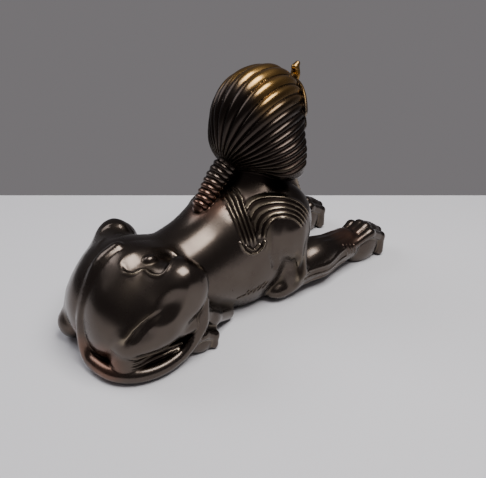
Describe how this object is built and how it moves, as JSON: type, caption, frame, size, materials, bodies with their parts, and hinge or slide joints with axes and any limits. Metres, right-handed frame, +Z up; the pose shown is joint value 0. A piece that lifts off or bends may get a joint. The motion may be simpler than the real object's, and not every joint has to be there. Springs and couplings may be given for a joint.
{
  "type": "sphinx statue",
  "caption": "Small cold-cast bronze sphinx lying down: a lion's body with a pharaoh's head in a pleated head cloth, tail curled round one haunch.",
  "frame": {"origin": "middle of the figure's footprint, on the flat underside", "axes": "+Z up; the figure lies along Y and faces -Y; its own right side, where the tail curls round, is at -X"},
  "size_m": [0.0792, 0.199, 0.1252],
  "materials": {
    "bronze": "dark patinated cold-cast bronze, polished on the high places"
  },
  "bodies": {
    "root": {"sphinx_figure": "bronze"}
  },
  "joints": []
}
